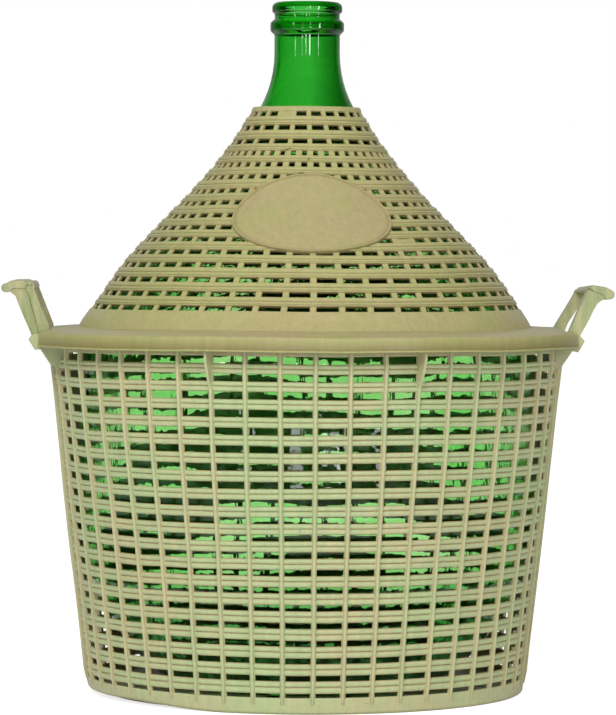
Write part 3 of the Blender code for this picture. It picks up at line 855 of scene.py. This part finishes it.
def make_handle(side, name):
    """Two fluted uprights that lean outward, and carry an inner roll and a curled grip."""
    handle = Builder()
    for hand in (1, -1):
        sections, dirt_and_shade = make_upright(side, hand)
        handle.add(sections, dirt_and_shade)
    handle.add(extruded(ROLL_CORNERS[side], side, GRIP_STEPS, HANDLE_HALF_WIDTH))
    handle.add(extruded(GRIP_CORNERS[side], side, GRIP_STEPS, HANDLE_HALF_WIDTH + 0.0012))
    return handle.build(name, sag, merge=True)


def cover_openings(line):
    """Where each row of openings starts and ends along the cover's outline."""
    middles = [line.at_height(height) for height in COVER_ROWS]
    return [(middle - COVER_OPENING / 2, middle + COVER_OPENING / 2) for middle in middles]


def make_cover_wall(line, openings):
    """The neck ring, the slats between the rows of openings, and the plain band under them."""
    wall = Builder()
    for (_, high), (low, _) in zip(openings, openings[1:]):
        # The backs are darkened fully, as painted shade on the cover's inside
        points, dirt_and_shade, tone = slat_section(
            high, low, COVER_BACK, *COVER_BEADS, COVER_SPLITS, (1, 0.5)
        )
        wall.add(turned(along(line, points)), dirt_and_shade, tone, around=True)
    first = openings[0][0]
    ring = rounded(
        [
            (0.0002, -COVER_BACK, 0.0006),
            (0.0002, 0.0002, 0.0010),
            (first * 0.5, 0.0004, 0.001),
            (first, -0.0006, 0.0008),
            (first, -COVER_BACK, 0),
        ],
        closed=True,
        arc=radians(20),
    )
    wall.add(turned(along(line, ring)), around=True)
    last = openings[-1][1]
    band = [
        (last, -COVER_BACK),
        (last, -0.0012),
        (last + 0.0006, -0.0003),
        (last + 0.0016, 0),
        (line.length * 0.5 + last * 0.5, 0),
        (line.length - 0.001, 0),
        (line.length - 0.001, -COVER_BACK),
    ]
    wall.add(turned(along(line, band)), around=True)
    return wall.build("cover_wall", lean)


def make_cover_ribs(line, openings):
    """The short ribs across each row of openings, fewer and thinner in the upper rows."""
    ribs = Builder()
    for row, (high, low) in enumerate(openings):
        count = 24 if row < WIDE_ROWS else 48
        for rib in range(count):
            angle = 2 * pi * rib / count
            half = (WIDE_ROW_RIB_WIDTH if row < WIDE_ROWS else COVER_RIB_WIDTH) / 2
            section = [(-half, -COVER_BACK), (-half, -0.0016), (-half * 0.8, -0.0010)]
            section += [(-across, out) for across, out in reversed(section)]
            sections = []
            for step in range(5):
                distance = high - 0.0012 + (low - high + 0.0024) * step / 4
                spots = [(line.spot(distance, out), across) for across, out in section]
                sections.append(
                    [around(spot.x, spot.y, angle + across / spot.x) for spot, across in spots]
                )
            # Painted shade on the ribs' sides towards the back, inside the openings
            ribs.add(sections, [1.0, 0.4, 0.0, 0.0, 0.4, 1.0], [0.5, 0.6, 0.3, 0.3, 0.6, 0.5])
    return ribs.build("cover_ribs", lean)


def make_flaws(line, openings):
    """Cells of the cover that the moulding left closed, and dark nicks."""
    flaws = Builder()
    for row, degrees, width, depth in CLOSED_CELLS:
        high, low = openings[row]
        angle = radians(degrees)
        half = width / 2
        sections = []
        for across in (-half, half):
            corners = ((high - 0.001, -0.0030), (high - 0.001, -depth),
                       (low + 0.001, -depth), (low + 0.001, -0.0030))
            spots = [line.spot(*corner) for corner in corners]
            sections.append([around(spot.x, spot.y, angle + across / spot.x) for spot in spots])
        flaws.add(sections)
    for height, degrees, rise, run in NICKS:
        middle = line.at_height(height)
        over = Vector((run, rise)).normalized() * 0.0005
        sections = []
        for way in (-1, 1):
            section = []
            for edge, out in ((-1, -0.002), (-1, 0.0008), (1, 0.0008), (1, -0.002)):
                spot = line.spot(middle - way * rise + edge * over.x, out)
                across = way * run - edge * over.y
                section.append(around(spot.x, spot.y, radians(degrees) + across / spot.x))
            sections.append(section)
        flaws.add(sections, [1.0] * 4)
    return flaws.build("cover_flaws", lean)


def make_flange(line):
    """The flat flange and its hanging skirt, with a notch at each handle."""
    inside = line.spot(line.length).x - 0.003
    skirt = SKIRT_RADIUS
    corners = [
        (inside, FLANGE_INSIDE_Z, 0),
        (skirt - 0.0160, FLANGE_INSIDE_Z - 0.0006, 0.03),
        (skirt - 0.0020, 0.3594, 0.004),
        (skirt - 0.0004, 0.3586, 0.0006),
        (skirt - 0.0002, 0.3574, 0.0008),
        (skirt, SKIRT_END + 0.0022, 0.0006),
        (skirt + 0.0008, SKIRT_END + 0.0014, 0.0006),
        (skirt + 0.0008, SKIRT_END, 0.0006),
        (skirt - 0.0022, SKIRT_END, 0.0006),
        (skirt - 0.0024, RIM_Z + 0.0004, 0.0010),
        (inside + 0.022, FLANGE_INSIDE_Z - 0.0050, 0),
        (inside, FLANGE_INSIDE_Z - 0.0032, 0),
    ]
    section = rounded(corners, closed=True, arc=radians(15))
    flange = Builder()
    # Painted shade on the skirt just above its rolled lip and on its inner lower edge
    right, top = skirt + 0.0002, SKIRT_END + 0.0026
    dirt_and_shade = [0.7 if spot.y < top and spot.x < right else 0 for spot in section]
    tone = [0.7 if spot.y > 0.3580 else 0.0 for spot in section]
    flange.add(turned(section, 288), dirt_and_shade, tone, around=True)
    obj = flange.build("cover_flange")
    cutters = []
    for side in (1, -1):
        near, far = sorted((side * NOTCH_X, side * 0.35))
        low = (near, -NOTCH_HALF_WIDTH, 0.30)
        high = (far, NOTCH_HALF_WIDTH, 0.40)
        cutters.append(plain_box("notch", low, high))
    cut(obj, cutters)
    return settle(obj, warp)


def make_plate(line):
    """The bare oval plate with its thin raised rim, bent to the cone."""
    rim = 1 - 2 * PLATE_RIM / PLATE_HEIGHT
    rings = [(share * rim, 0.0016) for share in (0, 0.2, 0.4, 0.6, 0.8, 0.95, 0.992)]
    rings += [(rim, 0.0017), (rim + 0.007, 0.0028), (1 - 0.010, 0.0029), (1, 0.0019)]
    rings += [(1, -0.003), (0.9, -0.0034), (0.5, -0.0034), (0, -0.0034)]
    half_angle = PLATE_WIDTH / 2 / line.spot(PLATE_CENTRE).x
    steps = 128
    sections = []
    for step in range(steps):
        turn = -2 * pi * step / steps
        section = []
        for share, out in rings:
            distance = PLATE_CENTRE - cos(turn) * share * PLATE_HEIGHT / 2
            spot = line.spot(distance, out)
            section.append(around(spot.x, spot.y, sin(turn) * share * half_angle))
        sections.append(section)
    plate = Builder()
    # Painted shade in the crease inside the rim and on the rim's outer side
    dirt_and_shade = [0, 0, 0, 0, 0, 0, 0.3, 0.3, 0, 0, 0.4, 0.6, 0, 0, 0]
    plate.add(sections, dirt_and_shade, [PLATE_TONE] * len(rings), around=True)
    return plate.build("cover_plate", lean, merge=True)


def material(name):
    """A new material with its nodes and its links."""
    made = bpy.data.materials.new(name)
    made.use_nodes = True
    return made, made.node_tree.nodes, made.node_tree.links


def feed(made, socket, value):
    """Sets a node's input to a number or a colour, or links another node's output to it."""
    if isinstance(value, bpy.types.NodeSocket):
        made.node_tree.links.new(value, socket)
    elif isinstance(value, tuple):
        socket.default_value = (*value, 1)
    else:
        socket.default_value = value


def noise_node(made, place, stretch, scale, detail):
    """A noise texture on the object's own coordinates, stretched by three factors."""
    nodes, links = made.node_tree.nodes, made.node_tree.links
    mapping = nodes.new("ShaderNodeMapping")
    mapping.inputs["Scale"].default_value = stretch
    texture = nodes.new("ShaderNodeTexNoise")
    texture.inputs["Scale"].default_value = scale
    texture.inputs["Detail"].default_value = detail
    links.new(place, mapping.inputs["Vector"])
    links.new(mapping.outputs["Vector"], texture.inputs["Vector"])
    return texture.outputs["Fac"]


def ranged(made, value, start, end, low, high):
    """Maps a value from one range to another, and stays within it."""
    node = made.node_tree.nodes.new("ShaderNodeMapRange")
    ends = (("From Min", start), ("From Max", end), ("To Min", low), ("To Max", high))
    for title, given in (("Value", value), *ends):
        feed(made, node.inputs[title], given)
    return node.outputs["Result"]


def mixed(made, share, first, second, blend="MIX"):
    """Mixes two colours, each given as three numbers or as another node's output."""
    node = made.node_tree.nodes.new("ShaderNodeMix")
    node.data_type = "RGBA"
    node.blend_type = blend
    for title, given in (("Factor", share), ("A", first), ("B", second)):
        feed(made, node.inputs[title], given)
    return node.outputs["Result"]


def math_node(made, operation, *values):
    """The result of a math operation on numbers or other nodes' outputs."""
    node = made.node_tree.nodes.new("ShaderNodeMath")
    node.operation = operation
    for socket, value in zip(node.inputs, values):
        feed(made, socket, value)
    return node.outputs["Value"]


def attribute(made, name):
    """A value that the mesh stores at its points."""
    node = made.node_tree.nodes.new("ShaderNodeAttribute")
    node.attribute_name = name
    return node.outputs["Fac"]


def plastic(name, tones, streaks=STREAKS):
    """Moulded polyethylene: two tones, a painted amber glow on the inside, clouds, streaks and
    specks, and a brown for dirt and painted shade.
    """
    made, nodes, links = material(name)
    shader = nodes["Principled BSDF"]
    shader.inputs["Roughness"].default_value = PLASTIC_ROUGHNESS
    place = nodes.new("ShaderNodeTexCoord").outputs["Object"]
    cloud = noise_node(made, place, (1, 1, 1), 11, 6)
    streak = noise_node(made, place, (1, 1, 0.06), 150, 3)
    grain = noise_node(made, place, (1, 1, 1), 330, 2)
    clouds = ranged(made, cloud, 0.35, 0.65, -0.45, 0.45)
    runs = ranged(made, streak, 0.35, 0.65, -4 * streaks, 4 * streaks)
    given = attribute(made, "tone")
    drifted = math_node(made, "ADD", given, math_node(made, "ADD", clouds, runs))
    colour = mixed(made, ranged(made, drifted, 0, 1, 0, 1), *tones)
    # Tones from 1.2 up fade to the painted amber glow of the inside
    colour = mixed(made, ranged(made, given, 1.2, AMBER_GLOW_TONE, 0, 1), colour, PAINTED_INSIDE_GLOW)
    light = ranged(made, streak, 0.3, 0.7, 1 - streaks, 1 + streaks)
    shade = math_node(made, "MULTIPLY", light, ranged(made, grain, 0.3, 0.7, 0.95, 1.04))
    shade = math_node(made, "MULTIPLY", shade, ranged(made, grain, 0.70, 0.76, 1.0, 0.62))
    combined = nodes.new("ShaderNodeCombineColor")
    for title in ("Red", "Green", "Blue"):
        links.new(shade, combined.inputs[title])
    colour = mixed(made, 1.0, colour, combined.outputs["Color"], "MULTIPLY")
    # The brown darkening stands for dirt and for painted shade in grooves, corners and backs
    darkening = math_node(made, "MULTIPLY", attribute(made, "dirt_and_shade"), DIRT_AND_SHADE_SHARE)
    links.new(mixed(made, darkening, colour, DIRT_AND_SHADE_COLOUR), shader.inputs["Base Color"])
    bump = nodes.new("ShaderNodeBump")
    bump.inputs["Strength"].default_value = 0.25
    bump.inputs["Distance"].default_value = 0.0006
    links.new(noise_node(made, place, (1, 1, 0.5), 90, 4), bump.inputs["Height"])
    links.new(bump.outputs["Normal"], shader.inputs["Normal"])
    return made


def glass():
    """Green bottle glass with a wavy surface, coloured by how much of it the light crosses.

    Its surface is darker at the heel and at the right of the neck, as painted shade, and yellower on
    the body, as painted warm light from the basket.
    """
    made, nodes, links = material("green_glass")
    shader = nodes["Principled BSDF"]
    shader.inputs["Transmission Weight"].default_value = 1.0
    shader.inputs["Roughness"].default_value = 0.0
    shader.inputs["IOR"].default_value = 1.5
    tint = nodes.new("ShaderNodeVolumeAbsorption")
    tint.inputs["Color"].default_value = (*GLASS_TINT, 1)
    tint.inputs["Density"].default_value = GLASS_DENSITY
    links.new(tint.outputs["Volume"], nodes["Material Output"].inputs["Volume"])
    place = nodes.new("ShaderNodeTexCoord").outputs["Object"]
    split = nodes.new("ShaderNodeSeparateXYZ")
    links.new(place, split.inputs["Vector"])
    # Painted shade at the right of the neck and at the heel, and painted warm light on the body
    right = ranged(made, split.outputs["X"], *PAINTED_SHADE_NECK_X, 0, 1)
    height = split.outputs["Z"]
    neck = math_node(made, "MULTIPLY", right, ranged(made, height, *PAINTED_SHADE_NECK_Z, 0, 1))
    heel = ranged(made, height, *PAINTED_SHADE_HEEL_Z, 1, 0)
    body = ranged(made, height, *PAINTED_WARM_LIGHT_Z, 1, 0)
    colour = mixed(made, body, NECK_GLASS, PAINTED_WARM_LIGHT_GLASS)
    painted_shade = math_node(made, "MAXIMUM", neck, heel)
    links.new(mixed(made, painted_shade, colour, PAINTED_SHADE_GLASS), shader.inputs["Base Color"])
    waves = nodes.new("ShaderNodeBump")
    waves.inputs["Distance"].default_value = GLASS_BUMP
    links.new(noise_node(made, place, (1, 1, 1), 25, 2.5), waves.inputs["Height"])
    links.new(ranged(made, height, *GLASS_BUMP_Z, 1.0, 0.20), waves.inputs["Strength"])
    lines = nodes.new("ShaderNodeBump")
    lines.inputs["Distance"].default_value = GLASS_BUMP
    links.new(ranged(made, height, *GLASS_BUMP_Z, 0.12, 0.32), lines.inputs["Strength"])
    links.new(noise_node(made, place, (1, 1, 0.12), 130, 2), lines.inputs["Height"])
    links.new(waves.outputs["Normal"], lines.inputs["Normal"])
    links.new(lines.outputs["Normal"], shader.inputs["Normal"])
    return made


def inner_point(spot, angle):
    """A point inside the bottle, whose wall is uneven below the neck as in blown glass."""
    point = around(spot.x, spot.y, angle)
    fade = (1 - ramp(spot.y, WALL_WAVE_Z)) * ramp(spot.x, WALL_WAVE_RADII)
    inward = WALL_WAVES * fade * noise.noise(point * WALL_WAVE_SCALE)
    return around(spot.x - inward, spot.y, angle)


def make_bottle():
    """The glass: its outline turned, and an inner wall that follows it without the lip's beads."""
    outside = rounded([*LIP_CORNERS, *SHOULDER_CORNERS, *FOOT_CORNERS])
    smooth = Line(rounded([(NECK, MOUTH, 0), *SHOULDER_CORNERS, *FOOT_CORNERS]))
    inside = []
    for step in range(GLASS_RINGS + 1):
        distance = smooth.length * step / GLASS_RINGS
        height = smooth.spot(distance).y
        depth = BODY_WALL + (SHAFT_WALL - BODY_WALL) * ramp(height, SHAFT_START)
        depth += (NECK_WALL - SHAFT_WALL) * ramp(height, LIP_STEP)
        inside.append(smooth.spot(distance, -depth))
    inside = [spot for spot in inside if spot.y < MOUTH - LIP_INSIDE]
    inside[-1].x = 0
    inside.reverse()
    mesh = bpy.data.meshes.new("bottle")
    verts, faces = [], []
    for step in range(TURN_STEPS):
        angle = 2 * pi * step / TURN_STEPS
        verts.extend(around(spot.x, spot.y, angle) for spot in outside)
        verts.extend(inner_point(spot, angle) for spot in inside)
    size = len(outside) + len(inside)
    for step in range(TURN_STEPS):
        here, there = step * size, (step + 1) % TURN_STEPS * size
        for spot in range(size):
            after = (spot + 1) % size
            faces.append((here + spot, here + after, there + after, there + spot))
    mesh.from_pydata(verts, [], faces)
    tidy(mesh)
    mesh.shade_smooth()
    return placed("bottle_glass", mesh)


def seen_straight(made, path):
    """1 for what the camera sees directly or through the glass, by a Light Path node."""
    through = path.outputs["Is Transmission Ray"]
    return math_node(made, "MAXIMUM", path.outputs["Is Camera Ray"], through)


def make_stage():
    """A white floor that glows for the camera, like the photograph's white background."""
    mesh = bpy.data.meshes.new("floor")
    half = FLOOR_HALF
    corners = [(-half, -half, 0), (half, -half, 0), (half, half, 0), (-half, half, 0)]
    mesh.from_pydata(corners, [], [(0, 1, 2, 3)])
    floor = placed("floor", mesh)
    made, nodes, links = material("floor")
    shader = nodes["Principled BSDF"]
    shader.inputs["Base Color"].default_value = (0.9, 0.9, 0.9, 1)
    shader.inputs["Roughness"].default_value = 0.9
    shader.inputs["Emission Color"].default_value = (1, 1, 1, 1)
    seen = seen_straight(made, nodes.new("ShaderNodeLightPath"))
    links.new(math_node(made, "MULTIPLY", seen, FLOOR_GLOW), shader.inputs["Emission Strength"])
    mesh.materials.append(made)


def make_world():
    """A white background that lights the object softly and is dim in its reflections."""
    world = bpy.data.worlds.new("studio")
    bpy.context.scene.world = world
    world.use_nodes = True
    nodes, links = world.node_tree.nodes, world.node_tree.links
    path = nodes.new("ShaderNodeLightPath")
    seen = seen_straight(world, path)
    strength = math_node(world, "MULTIPLY_ADD", seen, 1 - WORLD_LIGHT, WORLD_LIGHT)
    place = nodes.new("ShaderNodeSeparateXYZ")
    links.new(nodes.new("ShaderNodeTexCoord").outputs["Generated"], place.inputs["Vector"])
    # Refracted rays count as glossy too, so the backdrop is at full strength for them
    through = path.outputs["Is Transmission Ray"]
    bright = math_node(world, "MULTIPLY_ADD", through, 1 - BACKDROP_GLOSS, BACKDROP_GLOSS)
    backdrop = ranged(world, place.outputs["Y"], *BACKDROP_EDGES, WORLD_GLOSS, bright)
    shown = nodes.new("ShaderNodeMix")
    links.new(path.outputs["Is Glossy Ray"], shown.inputs["Factor"])
    links.new(strength, shown.inputs["A"])
    links.new(backdrop, shown.inputs["B"])
    background = nodes["Background"]
    background.inputs["Color"].default_value = (1, 1, 1, 1)
    links.new(shown.outputs["Result"], background.inputs["Strength"])


def make_lamp(name, place, target, size, power, length=0):
    """A square lamp, or with a length a narrow one that stands upright."""
    light = bpy.data.lights.new(name, "AREA")
    light.shape = "RECTANGLE" if length else "SQUARE"
    light.size = size
    light.size_y = length or size
    light.energy = power
    lamp = placed(name, light)
    lamp.location = place
    lamp.rotation_euler = (Vector(target) - Vector(place)).to_track_quat("-Z", "Y").to_euler()
    return lamp


def make_lights():
    """Soft light from the upper left and the right, and strips that only reflections show."""
    for place, size, power in SOFT_LAMPS:
        lamp = make_lamp("soft", place, (0, 0, 0.33), size, power)
        lamp.visible_glossy = False
        lamp.visible_transmission = False
    for turn, height, width, length, power in STRIPS:
        place = around(STRIP_DISTANCE, height, radians(turn) - OBJECT_TURN)
        strip = make_lamp("strip", place, (0, 0, 0.6), width, power, length)
        strip.visible_diffuse = False
        strip.visible_transmission = False


def make_camera():
    """The photograph's camera, turned round the object by the angle at which the object stands."""
    camera = bpy.data.cameras.new("camera")
    camera.sensor_width = SENSOR_MM
    camera.lens = SENSOR_MM * FOCAL_PIXELS / max(IMAGE_SIZE)
    camera.clip_end = 200
    holder = placed("camera", camera)
    turn = Matrix.Rotation(-OBJECT_TURN, 4, "Z")
    aim = Matrix.Rotation(-CAMERA_AIM, 4, "Z") @ Matrix.Rotation(pi / 2 - CAMERA_PITCH, 4, "X")
    place = Matrix.Translation((0, -CAMERA_DISTANCE, CAMERA_HEIGHT))
    holder.matrix_world = turn @ place @ aim @ Matrix.Rotation(CAMERA_ROLL, 4, "Z")
    bpy.context.scene.camera = holder


make_camera()
make_stage()
make_world()
make_lights()

cover_plastic = plastic("cover_plastic", COVER_TONES)
brightened_lattice_plastic = plastic("brightened_lattice_plastic", BRIGHTENED_LATTICE_TONES)
handle_plastic = plastic("handle_plastic", HANDLE_TONES, HANDLE_STREAKS)
basket_plastic = plastic("basket_plastic", BASKET_TONES)
bottle = make_bottle()
bottle.data.materials.append(glass())
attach(bottle, "bottle")
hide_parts("glass_bottle")
wall = make_basket_wall()
ribs = make_basket_ribs()
for piece in (wall, ribs, make_rim(), make_floor(), make_fins(), make_ears()):
    piece.data.materials.append(basket_plastic)
    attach(piece, "basket")
for piece in (make_handle(1, "right_handle"), make_handle(-1, "left_handle")):
    piece.data.materials.append(handle_plastic)
    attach(piece, "basket")
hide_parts("basket")
line = cover_line()
openings = cover_openings(line)
cover_wall = make_cover_wall(line, openings)
cover_ribs = make_cover_ribs(line, openings)
flaws = make_flaws(line, openings)
# The lattice takes the lighter copy of the cover's plastic, as painted light
for piece in (cover_wall, cover_ribs, flaws, make_flange(line), make_plate(line)):
    lattice = piece in (cover_wall, cover_ribs, flaws)
    piece.data.materials.append(brightened_lattice_plastic if lattice else cover_plastic)
    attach(piece, "cover")
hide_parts("cover")

bpy.context.scene.view_settings.view_transform = "Standard"
